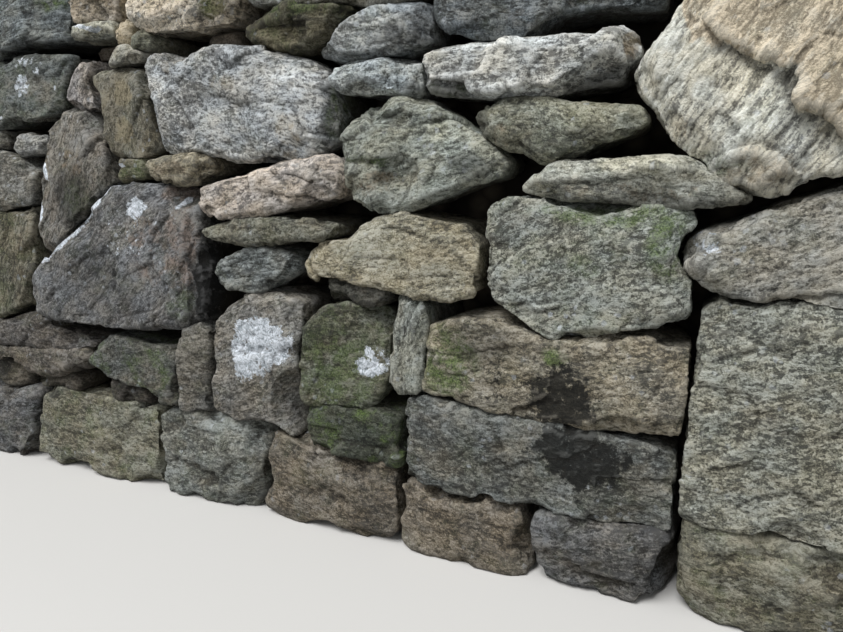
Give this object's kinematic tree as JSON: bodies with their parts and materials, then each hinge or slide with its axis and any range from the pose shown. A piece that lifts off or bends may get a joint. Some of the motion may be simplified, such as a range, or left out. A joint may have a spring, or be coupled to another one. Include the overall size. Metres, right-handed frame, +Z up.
{
  "type": "dry stone wall",
  "caption": "Free-standing dry stone wall of rough gneiss rubble, two leaning faces over a packed core, with built heads, through stones and flat cap stones",
  "frame": {"origin": "on the floor, at the middle of the wall's length and thickness", "axes": "+X along the wall, to the right seen from the front; the front face looks towards -Y; +Z up"},
  "size_m": [1.8034, 0.4962, 0.874],
  "materials": {
    "blue_grey_gneiss": "rough split stone",
    "pale_gneiss": "rough split stone",
    "tan_gneiss": "rough split stone",
    "grey_gneiss": "rough split stone",
    "dark_schist": "rough split stone",
    "green_stained_stone": "rough split stone",
    "pinkish_gneiss": "rough split stone",
    "brown_gneiss": "rough split stone",
    "course_gneiss": "rough split stone",
    "cap_gneiss": "rough split stone",
    "packed_rubble": "rough split stone"
  },
  "bodies": {
    "root": {"blue_laminated_stone": "blue_grey_gneiss", "blue_lumpy_stone": "blue_grey_gneiss", "small_blue_stone": "blue_grey_gneiss", "dark_long_stone": "blue_grey_gneiss", "great_speckled_stone": "pale_gneiss", "long_slab": "pale_gneiss", "tan_boulder": "tan_gneiss", "pale_tan_stone": "tan_gneiss", "long_tan_stone": "tan_gneiss", "long_pink_stone": "tan_gneiss", "folded_stone": "grey_gneiss", "pointed_stone": "grey_gneiss", "corner_grey_stone": "grey_gneiss", "speckled_block": "grey_gneiss", "square_green_stone": "grey_gneiss", "packing_stones": "grey_gneiss", "through_stones": "grey_gneiss", "jumper_stones": "grey_gneiss", "diamond_stone": "dark_schist", "striped_stone": "dark_schist", "dark_flat_stone": "dark_schist", "brown_flat_stone": "dark_schist", "bottom_slab": "dark_schist", "pinnings": "dark_schist", "lichen_spotted_stone": "green_stained_stone", "dark_green_stone": "green_stained_stone", "mossy_stone": "green_stained_stone", "olive_layered_stone": "green_stained_stone", "flat_pink_stone": "pinkish_gneiss", "upright_pinkish_stone": "pinkish_gneiss", "purple_boulder": "pinkish_gneiss", "upright_brown_stone": "brown_gneiss", "upright_olive_stone": "brown_gneiss", "brown_long_stone": "brown_gneiss", "lichen_stone": "brown_gneiss", "flakes": "brown_gneiss", "front_even_courses": "course_gneiss", "front_odd_courses": "course_gneiss", "back_even_courses": "course_gneiss", "back_odd_courses": "course_gneiss", "levelling_stones": "course_gneiss", "head_ties": "course_gneiss", "head_middles": "course_gneiss", "cap_stones": "cap_gneiss", "hearting": "packed_rubble"}
  },
  "joints": []
}
